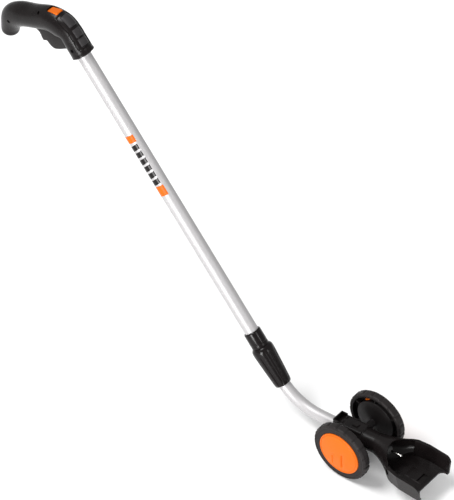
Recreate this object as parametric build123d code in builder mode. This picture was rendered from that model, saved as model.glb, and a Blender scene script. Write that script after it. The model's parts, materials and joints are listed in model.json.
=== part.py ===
from build123d import *
import os
from math import cos, radians, sin

os.makedirs("parts", exist_ok=True)

# Long-reach handle for cordless grass shears: a pistol grip, a telescoping pole, two wheels
# and a swivelling cradle that the shears clip into.
#
# Millimetres. The origin is on the ground, halfway between the back of the grip and the
# front of the cradle. +X is forwards, +Y is the user's left, +Z is up.

# ---------------------------------------------------------------- driving dimensions
overall_length = 837.0  # back of the pommel to the front edge of the cradle
cradle_reach = 142.0  # axle to the front edge of the cradle

wheel_radius = 49.0
wheel_inner_face = 36.0  # from the middle plane to each wheel's inner face
wheel_width = 14.0

neck_pitch = 8.0  # the neck rises forwards by this many degrees
pole_pitch = 49.2  # the pole rises backwards by this many degrees
axle_to_bend = 123.7  # axle to the corner where the neck line meets the pole line
bend_radius = 88.0

upper_tube_radius = 11.1
lower_tube_radius = 9.525
tube_wall = 1.25

running = 0.06  # radial clearance of a running fit
gap = 0.35  # clearance between pieces that move past each other
wall = 2.6  # moulded wall

# Distances up the pole, measured from the bend corner.
nut_low = 38.0
nut_high = 107.0
sleeve_high = 134.5
tube_foot = 100.0
handle_foot = 631.0
tube_head = 668.0
lower_tube_head = 590.0

# ---------------------------------------------------------------- frame helpers
axle_x = overall_length / 2 - cradle_reach
axle_point = Vector(axle_x, 0, wheel_radius)

pole_dir = Vector(-cos(radians(pole_pitch)), 0, sin(radians(pole_pitch)))
pole_front = Vector(sin(radians(pole_pitch)), 0, cos(radians(pole_pitch)))
neck_dir = Vector(cos(radians(neck_pitch)), 0, sin(radians(neck_pitch)))
neck_up = Vector(-sin(radians(neck_pitch)), 0, cos(radians(neck_pitch)))
bend_corner = axle_point - neck_dir * axle_to_bend
side_dir = Vector(0, 1, 0)

pole_axis = Axis(bend_corner, pole_dir)
neck_axis = Axis(axle_point, neck_dir)
wheel_axis = Axis(axle_point, side_dir)

# Half-section planes: x runs along the axis and y is the distance from it.
pole_section = Plane(origin=bend_corner, x_dir=pole_dir, z_dir=(0, 1, 0))
neck_section = Plane(origin=axle_point, x_dir=neck_dir, z_dir=(0, -1, 0))
right_wheel_section = Plane(origin=axle_point, x_dir=(0, -1, 0), z_dir=(-1, 0, 0))


def on_pole(along, front=0.0, side=0.0):
    """A point by its distance up the pole, out of the pole's front and to the left."""
    return bend_corner + pole_dir * along + pole_front * front + side_dir * side


def on_neck(along, up=0.0, side=0.0):
    """A point by its distance along the neck from the axle, above it and to the left."""
    return axle_point + neck_dir * along + neck_up * up + side_dir * side


def pole_plane(along):
    """A plane across the pole; its y axis points out of the pole's front."""
    return Plane(origin=on_pole(along), x_dir=(0, -1, 0), z_dir=pole_dir)


def fore_plane(along):
    """A plane across the lower part of the grip, centred on its casing."""
    return Plane(origin=on_pole(along, fore_offset), x_dir=(0, -1, 0), z_dir=pole_dir)


def neck_plane(along):
    """A plane across the neck; its y axis points up."""
    return Plane(origin=on_neck(along), x_dir=(0, 1, 0), z_dir=neck_dir)


def side_plane(side=0.0):
    """An upright plane; x is forwards from the axle, y is height and z is to the right."""
    return Plane(origin=(axle_x, side, 0), x_dir=(1, 0, 0), z_dir=(0, -1, 0))


def save(piece, label):
    """Label one finished piece and write it as its own STEP file."""
    piece.label = label
    export_step(piece, f"parts/{label}.step")


def ring(plane, outer, inner, length):
    """A plain round ring or tube that starts on a plane."""
    with BuildPart() as body:
        with BuildSketch(plane):
            Circle(outer)
            Circle(inner, mode=Mode.SUBTRACT)
        extrude(amount=length)
    return body.part


def rod(plane, radius, length):
    """A plain round rod that starts on a plane."""
    with BuildPart() as body:
        with BuildSketch(plane):
            Circle(radius)
        extrude(amount=length)
    return body.part


def coil(plane, radius, wire_radius, pitch, height):
    """A coil spring that stands on a plane, with its wire's lowest turn just above it."""
    with BuildPart() as body:
        with BuildLine():
            turns = Helix(pitch=pitch, height=height - 2 * wire_radius, radius=radius,
                          center=plane.origin + plane.z_dir * wire_radius, direction=plane.z_dir)
        with BuildSketch(Plane(origin=turns @ 0, z_dir=turns % 0)):
            Circle(wire_radius)
        sweep(path=turns)
    return body.part


def left_of(piece):
    """The mirror image of a right-hand piece."""
    with BuildPart() as body:
        add(piece)
        mirror(about=Plane.XZ, mode=Mode.REPLACE)
    return body.part


# ---------------------------------------------------------------- pole
tube_screw_place = on_pole(645, 4.4) - Vector(axle_x, 0, 0)
screw_radius = 1.5
with BuildPart() as upper_tube:
    add(ring(pole_plane(tube_foot), upper_tube_radius, upper_tube_radius - tube_wall,
             tube_head - tube_foot))
    # Hole for the screw that also holds the tube in the handle.
    with BuildSketch(side_plane(upper_tube_radius)):
        with Locations((tube_screw_place.X, tube_screw_place.Z)):
            Circle(screw_radius)
    extrude(amount=2 * upper_tube_radius, mode=Mode.SUBTRACT)
save(upper_tube.part, "upper_tube")

lower_tube_foot = -12.0  # along the neck, just behind the axle
with BuildPart() as lower_tube:
    with BuildLine() as tube_path:
        FilletPolyline(on_neck(lower_tube_foot), bend_corner, on_pole(lower_tube_head),
                       radius=bend_radius)
    with BuildSketch(Plane(origin=on_neck(lower_tube_foot), x_dir=(0, 1, 0), z_dir=-neck_dir)):
        Circle(lower_tube_radius)
        Circle(lower_tube_radius - tube_wall, mode=Mode.SUBTRACT)
    sweep()
    # Cross hole for the pin that holds the tube in the head.
    pin_along = -26.0
    pin_radius = 2.0
    with BuildSketch(Plane(origin=on_neck(pin_along, side=-30), z_dir=(0, 1, 0))):
        Circle(pin_radius)
    extrude(amount=60, mode=Mode.SUBTRACT)
save(lower_tube.part, "lower_tube")

# The bush on the inner tube's head runs in the bore of the outer tube.
bush_length = 26.0
slide_bush = ring(pole_plane(lower_tube_head - bush_length), upper_tube_radius - tube_wall - running,
                  lower_tube_radius, bush_length)
save(slide_bush, "slide_bush")

# Clamp sleeve: a gloss sleeve above the nut and a threaded spigot inside it.
sleeve_radius = 13.8
spigot_radius = 12.6
spigot_low = 84.0
with BuildPart() as clamp_sleeve:
    with BuildSketch(pole_section):
        with BuildLine():
            Polyline(
                (spigot_low, lower_tube_radius + gap),
                (spigot_low, spigot_radius),
                (nut_high + gap, spigot_radius),
                (nut_high + gap, sleeve_radius),
                (sleeve_high - 1.5, sleeve_radius),
                (sleeve_high, sleeve_radius - 1.2),
                (sleeve_high, upper_tube_radius),
                (tube_foot, upper_tube_radius),
                (tube_foot, lower_tube_radius + gap),
                close=True,
            )
        make_face()
    revolve(axis=pole_axis)
save(clamp_sleeve.part, "clamp_sleeve")

# Collet: a split cone that the nut's own cone squeezes on the inner tube.
collet_low = 54.0
with BuildPart() as clamp_collet:
    with BuildSketch(pole_section):
        with BuildLine():
            Polyline(
                (collet_low, lower_tube_radius + running),
                (collet_low, 10.7),
                (spigot_low, 12.1),
                (spigot_low, lower_tube_radius + running),
                close=True,
            )
        make_face()
    revolve(axis=pole_axis)
    with BuildSketch(pole_plane(collet_low - 1)):
        with PolarLocations(0, 2):
            Rectangle(30, 1.2)
        with PolarLocations(0, 2, start_angle=90):
            Rectangle(30, 1.2)
    extrude(amount=22, mode=Mode.SUBTRACT)
save(clamp_collet.part, "clamp_collet")

# Twist nut: a tapered body with long flats, a stepped bore and a narrow mouth.
nut_radius = 17.3
nut_foot_radius = 12.6
nut_mouth_radius = 11.1  # wide enough to clear the start of the tube's bend
flat_count = 10
with BuildPart() as twist_nut:
    with BuildSketch(pole_section):
        with BuildLine():
            Polyline(
                (nut_low, nut_mouth_radius),
                (nut_low, nut_foot_radius),
                (nut_low + 5, nut_foot_radius + 1.0),
                (nut_high - 10, nut_radius),
                (nut_high - 4, nut_radius - 0.6),
                (nut_high, nut_radius - 3.0),
                (nut_high, spigot_radius + running),
                (spigot_low - gap, spigot_radius + running),
                (collet_low - gap, nut_mouth_radius),
                close=True,
            )
        make_face()
    revolve(axis=pole_axis)
    # Shallow grooves between the flats, ending short of the nut's head.
    with BuildSketch(pole_plane(nut_low - 1)):
        with PolarLocations(nut_radius + 0.2, flat_count):
            Circle(1.5)
    extrude(amount=nut_high - nut_low - 10, mode=Mode.SUBTRACT)
save(twist_nut.part, "twist_nut")

# A thin plain mark on the tube's right side: a black bar between two orange ones.
mark_low = 385.0
mark_high = 491.0
mark_thickness = 0.15
mark_edge = 5.2  # the bars stop this far to the right of the tube's axis


def tube_bar(low, high):
    """One thin bar of the mark, wrapped round the tube's right-hand side."""
    with BuildPart() as body:
        with BuildSketch(pole_plane(low)):
            Circle(upper_tube_radius + mark_thickness)
            Circle(upper_tube_radius, mode=Mode.SUBTRACT)
            with Locations((mark_edge - 2 * upper_tube_radius, 0)):
                Rectangle(4 * upper_tube_radius, 4 * upper_tube_radius, mode=Mode.SUBTRACT)
        extrude(amount=high - low)
    return body.part


with BuildPart() as mark_ends:
    add(tube_bar(mark_low, mark_low + 17))
    add(tube_bar(mark_high - 12, mark_high))
save(mark_ends.part, "mark_ends")
save(tube_bar(mark_low + 19, mark_high - 14), "mark_middle")

# ---------------------------------------------------------------- handle casing
# Centres of the casing's cross-sections from the axle: forwards, height, the way the casing
# runs there in degrees from forwards, half height and half width.
fore_radius = 17.8
fore_offset = 1.2  # the casing stands this far in front of the tube's axis
fore_turn = 180 - pole_pitch
fore_places = [on_pole(handle_foot + along, fore_offset) - Vector(axle_x, 0, 0) for along in (0, 13, 26, 38)]
handle_stations = [
    *[(place.X, place.Z, fore_turn, fore_radius, fore_radius) for place in fore_places],
    (-573.5, 544.5, 166.0, 21.5, 18.8),
    (-596.0, 544.5, 192.0, 20.5, 18.4),
    (-626.0, 532.5, 203.0, 19.0, 18.0),
    (-655.5, 520.0, 210.0, 19.8, 18.0),
    (-673.0, 505.5, 237.0, 19.2, 17.0),
    (-679.5, 485.0, 262.0, 15.2, 14.6),
    (-681.0, 470.0, 268.0, 13.4, 13.2),
]
pommel_tip = 462.0


def handle_body(inset):
    """The casing's outer form, or with an inset the hollow inside it."""
    with BuildPart() as body:
        for forwards, height, turn, half_height, half_width in handle_stations:
            along = Vector(cos(radians(turn)), 0, sin(radians(turn)))
            place = Plane(origin=(axle_x + forwards, 0, height), x_dir=(0, -1, 0), z_dir=along)
            with BuildSketch(place):
                Ellipse(half_width - inset, half_height - inset)
        loft()
        tip = body.faces().sort_by(Axis.Z)[0]
        fillet(tip.edges(), radius=8.0 - inset)
    return body.part


# The trigger's side outline from the axle: a paddle with two finger hollows.
trigger_half_width = 8.5
trigger_pin_place = (-617.0, 524.0)
trigger_pin_radius = 2.0
trigger_pin_side = 13.0
trigger_front = (-559.5, 511.0)


def trigger_outline():
    """Draw the closed outline of the trigger in the side plane."""
    with BuildLine() as outline:
        nose = Line((-624.5, 526.0), (-623.0, 518.0))
        first_lobe = Spline(nose @ 1, (-613.5, 512.5), (-607.0, 501.5), (-599.5, 504.0))
        second_lobe = Spline(first_lobe @ 1, (-594.0, 499.5), (-586.0, 496.5), (-577.0, 500.0),
                             tangents=(first_lobe % 1, (1, 0.45)))
        Polyline(second_lobe @ 1, trigger_front, (-566.0, 519.0), (-581.0, 533.0), nose @ 0)
    return outline.line


with BuildPart() as trigger:
    with BuildSketch(side_plane()):
        add(trigger_outline())
        make_face()
        with Locations(trigger_pin_place):
            Circle(trigger_pin_radius + running, mode=Mode.SUBTRACT)
    extrude(amount=trigger_half_width, both=True)
save(trigger.part, "trigger")

# The room that the trigger sweeps as it is pulled up.
with BuildPart() as trigger_room:
    with BuildSketch(side_plane()):
        with BuildLine():
            Polyline(
                (-626.5, 512.0),
                (-628.5, 529.0),
                (-600.0, 538.5),
                (-574.0, 540.5),
                (-557.0, 540.5),
                (-552.0, 512.0),
                (-556.0, 490.0),
                (-620.0, 486.0),
                close=True,
            )
        make_face()
    extrude(amount=trigger_half_width + gap, both=True)

# The screws: forwards and height from the axle, and how far to the right the head sits.
handle_screw_places = [
    (-668.0, 509.0, 12.0),
    (-611.0, 555.0, 4.0),
    (tube_screw_place.X, tube_screw_place.Z, 12.0),
]
handle_screw_end = 8.0  # the screws end this far to the left

# Lock-off button: its place on top of the grip and the way it is pressed.
button_tilt = 16.0  # its top rises forwards
button_length = 21.0
button_width = 14.0
button_travel = 2.2
button_up = Vector(-sin(radians(button_tilt)), 0, cos(radians(button_tilt)))
button_face = Plane(
    origin=(axle_x - 589.0, 0, 565.2),
    x_dir=(cos(radians(button_tilt)), 0, sin(radians(button_tilt))),
    z_dir=button_up,
)

with BuildPart() as lock_button:
    with BuildSketch(button_face):
        RectangleRounded(button_length, button_width, 2.5)
    extrude(amount=-7.0)
    fillet(lock_button.faces().sort_by(Axis(button_face.origin, button_up))[-1].edges(), radius=1.0)
    # A foot inside the casing keeps the button from coming out.
    with BuildSketch(button_face.offset(-7.0)):
        Rectangle(button_length + 4, button_width + 3)
    extrude(amount=-1.6)
save(lock_button.part, "lock_button")

with BuildPart() as button_room:
    with BuildSketch(button_face.offset(6.0)):
        RectangleRounded(button_length + 2 * gap, button_width + 2 * gap, 2.8)
    extrude(amount=-13.2)
    with BuildSketch(button_face.offset(-6.7)):
        Rectangle(button_length + 5.0, button_width + 4.0)
    extrude(amount=-2.6 - button_travel)

spring_seat = 16.2  # the springs' shelf, below the button's top
lock_spring = coil(button_face.offset(-spring_seat), 3.2, 0.45, 1.7, spring_seat - 8.6 - 0.05)
save(lock_spring, "lock_spring")

# Pad on the front of the grip's lower part, with three lobes down each edge.
pad_low = 642.0
pad_high = 692.0
pad_half_width = 11.7
lobe_half_width = 13.6
lobe_pitch = 15.5
pad_depth = 0.8  # how deep it is let into the casing
pad_stand = 0.6  # how far it stands out of the casing


def pad_form(outer):
    """The pad's outline, from its bed in the casing out to a radius."""
    with BuildPart() as body:
        with BuildSketch(Plane(origin=on_pole(0), x_dir=pole_dir, z_dir=pole_front)):
            with Locations(((pad_low + pad_high) / 2, 0)):
                RectangleRounded(pad_high - pad_low, 2 * pad_half_width, 6)
            with Locations(((pad_low + pad_high) / 2, 0)):
                with GridLocations(lobe_pitch, 0, 3, 1):
                    Ellipse(8.5, lobe_half_width)
        extrude(amount=3 * fore_radius)
        with BuildSketch(fore_plane(pad_low - 5)):
            Circle(fore_radius - pad_depth)
        extrude(amount=pad_high - pad_low + 10, mode=Mode.SUBTRACT)
        with BuildSketch(fore_plane(pad_low - 5)):
            Circle(outer)
        extrude(amount=pad_high - pad_low + 10, mode=Mode.INTERSECT)
    return body.part


outer_casing = handle_body(0.0)
inner_casing = handle_body(wall)

# Ribs, shelves and bosses inside the casing, trimmed to the middle of its wall.
shelf_thickness = 2.0
switch_shelf = (-590.0, 546.0)
boss_radius = 4.2
with BuildPart() as handle_ribs:
    for rib_along in (handle_foot + 3, handle_foot + 20, tube_head - 3):
        with BuildSketch(fore_plane(rib_along)):
            Circle(fore_radius + 5)
        extrude(amount=3)
    with BuildSketch(button_face.offset(-spring_seat)):
        Rectangle(12, 4 * fore_radius)
    extrude(amount=-shelf_thickness)
    with BuildSketch(side_plane()):
        with Locations(switch_shelf):
            Rectangle(34, shelf_thickness)
        with Locations(trigger_pin_place, *[place[:2] for place in handle_screw_places]):
            Circle(boss_radius)
    extrude(amount=2 * fore_radius, both=True)
    add(handle_body(wall / 2), mode=Mode.INTERSECT)

handle_pad = pad_form(fore_radius + pad_stand)
save(handle_pad, "handle_pad")

collar_depth = 3.0
collar_radius = fore_radius - 3.2
with BuildPart() as handle_casing:
    add(outer_casing)
    add(inner_casing, mode=Mode.SUBTRACT)
    add(handle_ribs.part)
    # Bore for the outer tube, and the recess in the end for the collar.
    with BuildSketch(pole_plane(handle_foot - 5)):
        Circle(upper_tube_radius)
    extrude(amount=tube_head - handle_foot + 5, mode=Mode.SUBTRACT)
    with BuildSketch(pole_plane(handle_foot - 1)):
        Circle(collar_radius)
    extrude(amount=collar_depth + 1, mode=Mode.SUBTRACT)
    add(trigger_room.part, mode=Mode.SUBTRACT)
    add(button_room.part, mode=Mode.SUBTRACT)
    add(pad_form(2 * fore_radius), mode=Mode.SUBTRACT)
    # Screw holes and their counterbores on the right, and the hole for the trigger's pin.
    for forwards, height, head_side in handle_screw_places:
        with BuildSketch(side_plane(handle_screw_end)):
            with Locations((forwards, height)):
                Circle(screw_radius)
        extrude(amount=handle_screw_end + head_side, mode=Mode.SUBTRACT)
        with BuildSketch(side_plane(-head_side)):
            with Locations((forwards, height)):
                Circle(3.0)
        extrude(amount=2 * fore_radius, mode=Mode.SUBTRACT)
    with BuildSketch(side_plane(trigger_pin_side)):
        with Locations(trigger_pin_place):
            Circle(trigger_pin_radius)
    extrude(amount=2 * trigger_pin_side, mode=Mode.SUBTRACT)

for half, keep in (("right", Keep.BOTTOM), ("left", Keep.TOP)):
    with BuildPart() as handle_shell:
        add(handle_casing.part)
        split(bisect_by=Plane(origin=(0, 0, 0), z_dir=(0, 1, 0)), keep=keep)
    # Only the shell itself is kept, not the shavings that the cuts leave.
    save(handle_shell.part.solids().sort_by(SortBy.VOLUME)[-1], f"handle_shell_{half}")

collar_lip = 1.5
with BuildPart() as handle_collar:
    add(ring(pole_plane(handle_foot), collar_radius, upper_tube_radius, collar_depth))
    add(ring(pole_plane(handle_foot - collar_lip), collar_radius - 0.6, upper_tube_radius, collar_lip))
save(handle_collar.part, "handle_collar")

# Screws: a pan head in the right half and a shank into the left half.
screw_head_height = 2.2
with BuildPart() as handle_screws:
    for forwards, height, head_side in handle_screw_places:
        with BuildSketch(side_plane(-head_side)):
            with Locations((forwards, height)):
                Circle(2.9)
                RegularPolygon(1.2, 6, mode=Mode.SUBTRACT)
        extrude(amount=screw_head_height)
        with BuildSketch(side_plane(handle_screw_end)):
            with Locations((forwards, height)):
                Circle(screw_radius)
        extrude(amount=handle_screw_end + head_side)
save(handle_screws.part, "handle_screws")

trigger_pin = rod(Plane(origin=(axle_x + trigger_pin_place[0], trigger_pin_side, trigger_pin_place[1]),
                        z_dir=(0, -1, 0)), trigger_pin_radius, 2 * trigger_pin_side)
save(trigger_pin, "trigger_pin")

# The switch hangs from its shelf, above the trigger's front end, with its plunger below it.
switch_bottom = 539.6
plunger_bottom = 537.3
shelf_bottom = switch_shelf[1] - shelf_thickness / 2
with BuildPart() as switch_body:
    with BuildSketch(Plane(origin=(axle_x - 583.5, 0, switch_bottom))):
        Rectangle(18, 7)
    extrude(amount=shelf_bottom - switch_bottom)
save(switch_body.part, "switch_body")

switch_plunger = rod(Plane(origin=(axle_x - 579.0, 0, plunger_bottom)), 1.2,
                     switch_bottom - plunger_bottom)
save(switch_plunger, "switch_plunger")

trigger_spring_foot = 531.2
trigger_spring = coil(Plane(origin=(axle_x - 599.0, 0, trigger_spring_foot)), 2.8, 0.4, 1.9,
                      shelf_bottom - trigger_spring_foot)
save(trigger_spring, "trigger_spring")

# ---------------------------------------------------------------- head between the wheels
head_back = -41.0  # along the neck
head_front = 14.0
head_half_width = 12.5
head_half_height = 17.5
collar_outer = 17.5
collar_back = 0.5
axle_radius = 4.0
axle_half_length = 47.5
axle_boss_radius = 6.5
axle_boss_side = 18.5  # the bosses on the head end this far from the middle plane
neck_root_radius = 16.5
journal_radius = 12.0
flange_radius = 14.0
flange_back = 6.2
flange_front = 8.7
groove_depth = 1.8

# Thumb slide that frees the swivel.
latch_length = 11.0
latch_width = 8.0
latch_back = -10.5
latch_travel = 3.0
latch_stem_back = -7.0
latch_stem_front = -2.0
latch_bar_low = 8.2
latch_bar_high = 10.7
latch_bar_tip = 7.6
latch_spring_height = 12.6

with BuildPart() as swivel_latch:
    with BuildSketch(Plane(origin=on_neck(latch_back + latch_length / 2, head_half_height + 0.2),
                           x_dir=neck_dir, z_dir=neck_up)):
        RectangleRounded(latch_length, latch_width, 2.0)
    extrude(amount=1.4)
    with BuildSketch(neck_section):
        with BuildLine():
            Polyline(
                (latch_stem_back, head_half_height + 0.3),
                (latch_stem_back, latch_bar_low),
                (latch_bar_tip, latch_bar_low),
                (latch_bar_tip, latch_bar_high),
                (latch_stem_front, latch_bar_high),
                (latch_stem_front, head_half_height + 0.3),
                close=True,
            )
        make_face()
    extrude(amount=2.0, both=True)
save(swivel_latch.part, "swivel_latch")

with BuildPart() as latch_room:
    with BuildSketch(neck_section):
        with BuildLine():
            Polyline(
                (latch_stem_back - latch_travel - gap, head_half_height + 2),
                (latch_stem_back - latch_travel - gap, latch_bar_low - gap),
                (flange_back + 1, latch_bar_low - gap),
                (flange_back + 1, latch_bar_high + gap),
                (latch_stem_front + gap, latch_bar_high + gap),
                (latch_stem_front + gap, head_half_height + 2),
                close=True,
            )
        make_face()
    extrude(amount=2.0 + gap, both=True)
    # Behind the stem there is a pocket for its spring.
    with BuildSketch(neck_plane(latch_stem_back - latch_travel - gap)):
        with Locations((0, latch_spring_height)):
            Circle(2.6)
    extrude(amount=-9.0)

latch_spring = coil(
    Plane(origin=on_neck(latch_stem_back - 0.05, latch_spring_height), z_dir=-neck_dir),
    1.95, 0.45, 2.0, latch_travel + gap + 8.9)
save(latch_spring, "latch_spring")

# Screw places in the head: along the neck and above it.
head_screw_places = [(-35.0, -13.0), (-8.0, -13.0), (-22.0, 13.2)]
head_screw_side = 9.5

with BuildPart() as head_block:
    with BuildSketch(neck_plane(head_back)):
        RectangleRounded(2 * head_half_width, 2 * head_half_height, 4.0)
    extrude(amount=head_front - 2 - head_back)
    fillet(head_block.faces().sort_by(neck_axis)[0].edges(), radius=1.5)
    # Round collar in front, and the bosses that the wheels run against.
    with BuildSketch(neck_plane(collar_back)):
        Circle(collar_outer)
    extrude(amount=head_front - collar_back)
    fillet(head_block.faces().sort_by(neck_axis)[-1].edges(), radius=1.5)
    with BuildSketch(Plane(origin=(axle_x, -axle_boss_side, wheel_radius), z_dir=(0, 1, 0))):
        Circle(axle_boss_radius)
    extrude(amount=2 * axle_boss_side)
    # Socket for the inner tube and the way for the lead past the axle.
    with BuildSketch(neck_plane(head_back - 1)):
        Circle(lower_tube_radius)
    extrude(amount=lower_tube_foot - head_back + 1, mode=Mode.SUBTRACT)
    with BuildSketch(neck_plane(lower_tube_foot - 1)):
        Circle(lower_tube_radius - 1.5)
    extrude(amount=flange_back - lower_tube_foot, mode=Mode.SUBTRACT)
    # Groove and bearing for the cradle's journal.
    with BuildSketch(neck_plane(flange_back - gap)):
        Circle(flange_radius + gap)
    extrude(amount=flange_front - flange_back + 2 * gap, mode=Mode.SUBTRACT)
    with BuildSketch(neck_plane(flange_front)):
        Circle(journal_radius + running)
    extrude(amount=head_front - flange_front + 1, mode=Mode.SUBTRACT)
    # Bore for the axle.
    with BuildSketch(Plane(origin=(axle_x, -30, wheel_radius), z_dir=(0, 1, 0))):
        Circle(axle_radius)
    extrude(amount=60, mode=Mode.SUBTRACT)
    # Recess behind, above the tube, where the tube's clamp is reached.
    with BuildSketch(Plane(origin=on_neck(head_back + 7.5, head_half_height + 1), x_dir=neck_dir,
                           z_dir=neck_up)):
        RectangleRounded(11, 21, 2)
    extrude(amount=-6.0, mode=Mode.SUBTRACT)
    # Cross pin, screws, and the thumb slide's room.
    with BuildSketch(neck_section.offset(-30)):
        with Locations((pin_along, 0)):
            Circle(pin_radius)
    extrude(amount=60, mode=Mode.SUBTRACT)
    with BuildSketch(neck_section.offset(-head_screw_side)):
        with Locations(*head_screw_places):
            Circle(1.6)
    extrude(amount=2 * head_screw_side, mode=Mode.SUBTRACT)
    with BuildSketch(neck_section.offset(head_screw_side)):
        with Locations(*head_screw_places):
            Circle(3.1)
    extrude(amount=10, mode=Mode.SUBTRACT)
    add(latch_room.part, mode=Mode.SUBTRACT)

for half, keep in (("right", Keep.BOTTOM), ("left", Keep.TOP)):
    with BuildPart() as head_shell:
        add(head_block.part)
        split(bisect_by=Plane(origin=(0, 0, 0), z_dir=(0, 1, 0)), keep=keep)
    save(head_shell.part, f"head_shell_{half}")

with BuildPart() as head_screws:
    with BuildSketch(neck_section.offset(head_screw_side)):
        with Locations(*head_screw_places):
            Circle(3.0)
            RegularPolygon(1.2, 6, mode=Mode.SUBTRACT)
    extrude(amount=2.4)
    with BuildSketch(neck_section.offset(-head_screw_side + 2)):
        with Locations(*head_screw_places):
            Circle(1.6)
    extrude(amount=2 * head_screw_side - 2)
save(head_screws.part, "head_screws")

tube_pin = rod(Plane(origin=on_neck(pin_along, side=11.5), z_dir=(0, -1, 0)), pin_radius, 23)
save(tube_pin, "tube_pin")

# ---------------------------------------------------------------- axle and wheels
axle = rod(Plane(origin=(axle_x, axle_half_length, wheel_radius), z_dir=(0, -1, 0)),
           axle_radius, 2 * axle_half_length)
save(axle, "axle")

hub_outer_face = 44.0
washer_thickness = 0.6
with BuildPart() as axle_washers:
    for side in (1, -1):
        face = Plane(origin=(axle_x, side * axle_boss_side, wheel_radius), z_dir=(0, side, 0))
        add(ring(face, axle_boss_radius, axle_radius, washer_thickness))
save(axle_washers.part, "axle_washers")

with BuildPart() as axle_clips:
    for side in (1, -1):
        face = Plane(origin=(axle_x, side * (hub_outer_face + gap), wheel_radius), z_dir=(0, side, 0))
        add(ring(face, 7.5, axle_radius, 1.2))
save(axle_clips.part, "axle_clips")

cap_radius = 36.3
tyre_seat = 44.5  # radius where the tyre sits on the wheel
wheel_outer_face = wheel_inner_face + wheel_width
hub_radius = 6.5
hub_inner_face = axle_boss_side + washer_thickness + gap
dome_radius = 34.0
dome_rise = 6.0  # the dome's middle stands this far in from its edge
groove_radius = 42.5
groove_floor = 45.5
seat_face = 48.0  # the cap sits on this face
clip_radius = 35.2
clip_count = 2
clip_angle = -124.0

with BuildPart() as wheel_right:
    with BuildSketch(right_wheel_section):
        with BuildLine():
            Polyline(
                (hub_inner_face, axle_radius + running),
                (hub_inner_face, hub_radius),
                (wheel_inner_face - dome_rise + 1.5, hub_radius),
                (wheel_inner_face - 1.0, 26.0),
                (wheel_inner_face + 1.5, dome_radius),
                (groove_floor, dome_radius),
                (groove_floor, groove_radius),
                (wheel_inner_face + 0.5, groove_radius),
                (wheel_inner_face + 0.5, tyre_seat),
                (wheel_outer_face - 0.4, tyre_seat),
                (wheel_outer_face - 0.4, cap_radius + 0.2),
                (seat_face, cap_radius + 0.2),
                (seat_face, dome_radius - wall),
                (wheel_inner_face + 3.8, dome_radius - wall),
                (wheel_inner_face + 1.6, 26.0),
                (wheel_inner_face - dome_rise + 4.3, hub_radius),
                (hub_outer_face, hub_radius),
                (hub_outer_face, axle_radius + running),
                close=True,
            )
        make_face()
    revolve(axis=wheel_axis)
    # Ribs across the groove on the inner side.
    with BuildSketch(Plane(origin=(axle_x, -groove_floor, wheel_radius), x_dir=(1, 0, 0), z_dir=(0, 1, 0))):
        with PolarLocations((dome_radius + groove_radius) / 2, 6, start_angle=clip_angle + 30):
            Rectangle(groove_radius - dome_radius + 1, 1.8)
    extrude(amount=groove_floor - wheel_inner_face - 1.5)
    # Windows for the cap's clips.
    with BuildSketch(Plane(origin=(axle_x, -seat_face - 1, wheel_radius), x_dir=(1, 0, 0), z_dir=(0, 1, 0))):
        with PolarLocations(clip_radius, clip_count, start_angle=clip_angle):
            Rectangle(3.0, 9.0)
    extrude(amount=6.0, mode=Mode.SUBTRACT)
save(wheel_right.part, "wheel_right")
save(left_of(wheel_right.part), "wheel_left")

tread_count = 18
with BuildPart() as tyre_right:
    with BuildSketch(right_wheel_section):
        with BuildLine():
            Polyline(
                (wheel_inner_face, tyre_seat),
                (wheel_inner_face, wheel_radius - 1.5),
                (wheel_inner_face + 1.5, wheel_radius),
                (wheel_outer_face - 2.0, wheel_radius),
                (wheel_outer_face, wheel_radius - 2.0),
                (wheel_outer_face, tyre_seat),
                close=True,
            )
        make_face()
    revolve(axis=wheel_axis)
    # Cross grooves in the tread.
    with BuildSketch(Plane(origin=(axle_x, -wheel_inner_face + 1, wheel_radius), x_dir=(1, 0, 0),
                           z_dir=(0, -1, 0))):
        with PolarLocations(wheel_radius, tread_count, start_angle=90 / tread_count):
            Rectangle(1.2, 1.4)
    extrude(amount=wheel_width + 2, mode=Mode.SUBTRACT)
save(tyre_right.part, "tyre_right")
save(left_of(tyre_right.part), "tyre_left")

cap_face = wheel_outer_face + 3.4
cap_edge = wheel_outer_face + 0.4
with BuildPart() as hubcap_right:
    with BuildSketch(right_wheel_section):
        with BuildLine():
            face_arc = ThreePointArc((cap_face, 0), (cap_face - 0.8, 18), (cap_edge, cap_radius - 1))
            Polyline(
                face_arc @ 1,
                (cap_edge - 0.8, cap_radius),
                (seat_face, cap_radius),
                (seat_face, cap_radius - 2.2),
                (cap_edge - 1.6, cap_radius - 2.6),
                (cap_face - 2.4, 12),
                (cap_face - 2.4, 0),
                face_arc @ 0,
            )
        make_face()
    revolve(axis=wheel_axis)
    # Spring clips that reach through the wheel's web.
    with BuildSketch(Plane(origin=(axle_x, -seat_face, wheel_radius), x_dir=(1, 0, 0), z_dir=(0, 1, 0))):
        with PolarLocations(clip_radius, clip_count, start_angle=clip_angle):
            Rectangle(2.0, 8.0)
    extrude(amount=7.0)
save(hubcap_right.part, "hubcap_right")
save(left_of(hubcap_right.part), "hubcap_left")

# ---------------------------------------------------------------- cradle
floor_top = 35.5
floor_thickness = 3.0
neck_bore = 5.0
contact_drop = 3.0  # the contact sits this far below the neck's axis
contact_boss_back = 42.0  # along the neck
contact_back = 50.0
contact_front = 58.0
contact_tip = 80.0
contact_pin_radius = 2.0


def contact_plane(along):
    """A plane across the contact's own axis, which runs along the neck."""
    return Plane(origin=on_neck(along, up=-contact_drop), x_dir=(0, 1, 0), z_dir=neck_dir)


rim_height = 62.5
hood_top = 78.0
hood_front = 68.5
hood_half_width = 36.0
floor_front = 131.0
rim_corner = 10.0  # radius of the walls' top front corners


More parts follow.
